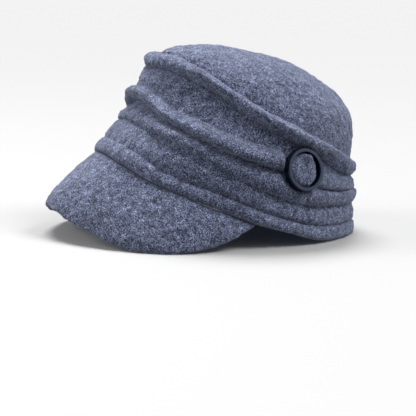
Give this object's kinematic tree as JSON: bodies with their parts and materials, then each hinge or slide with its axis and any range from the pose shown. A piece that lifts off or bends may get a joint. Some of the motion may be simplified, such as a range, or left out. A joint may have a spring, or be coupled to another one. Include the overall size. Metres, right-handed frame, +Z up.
{
  "type": "wool cap with a peak",
  "caption": "Peaked cap of boiled wool, its side band draped in soft slanting folds that gather at a round plastic ring on the wearer's left.",
  "frame": {"origin": "middle of the cap's footprint, on the surface it stands on", "axes": "+Z up, -Y the front with the peak, +X the wearer's left with the ring"},
  "size_m": [0.1913, 0.2437, 0.143],
  "materials": {
    "wool": "boiled and felted, heathered blue-grey",
    "plastic": "glossy black"
  },
  "bodies": {
    "root": {"crown": "wool", "side_band": "wool", "peak": "wool", "ring": "plastic", "ring_puff": "wool"}
  },
  "joints": []
}
